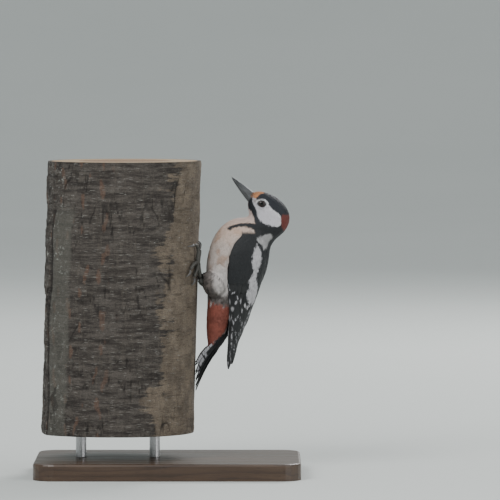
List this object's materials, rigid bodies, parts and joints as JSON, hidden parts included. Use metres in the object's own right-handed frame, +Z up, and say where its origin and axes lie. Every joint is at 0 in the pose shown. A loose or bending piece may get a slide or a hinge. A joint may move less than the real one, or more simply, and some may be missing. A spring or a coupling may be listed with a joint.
{
  "type": "great spotted woodpecker",
  "caption": "Life-size still model of a male great spotted woodpecker clinging upright to a cut length of tree trunk on a plain display stand.",
  "frame": {"origin": "middle of the underside of the stand's base", "axes": "+Z up along the tree trunk; the bird clings to the +X side of the trunk and faces -X, with its left side towards -Y"},
  "size_m": [0.252, 0.172, 0.298],
  "materials": {
    "black_feathers": "glossy blue-black feathers; the wings and outer tail are barred and spotted with white, the nape is red, the cheek and neck patch are white",
    "pale_feathers": "soft off-white feathers with buff stains, sooty on the thighs and lower belly, dull red under the tail",
    "bill_horn": "satin slate-grey horn with fine long ridges",
    "claw_horn": "satin dark horn",
    "foot_scales": "dull grey scaled skin",
    "eye": "wet-looking dark red-brown",
    "bark": "rough grey-brown bark with short pale cross bands, sawn ends",
    "base_wood": "dark stained, satin lacquered",
    "rod_steel": "satin"
  },
  "bodies": {
    "root": {"bill_lower": "bill_horn", "bill_upper": "bill_horn", "claw_left_hind": "claw_horn", "claw_left_inner_front": "claw_horn", "claw_left_outer_front": "claw_horn", "claw_left_side": "claw_horn", "claw_right_hind": "claw_horn", "claw_right_inner_front": "claw_horn", "claw_right_outer_front": "claw_horn", "claw_right_side": "claw_horn", "eye_left": "eye", "eye_right": "eye", "foot_left": "foot_scales", "foot_right": "foot_scales", "head": "black_feathers", "neck": "black_feathers", "perch_log": "bark", "shin_left": "pale_feathers", "shin_right": "pale_feathers", "stand_base": "base_wood", "stand_rod_1": "rod_steel", "stand_rod_2": "rod_steel", "tail": "black_feathers", "trunk": "pale_feathers", "wing_left": "black_feathers", "wing_right": "black_feathers"}
  },
  "joints": []
}
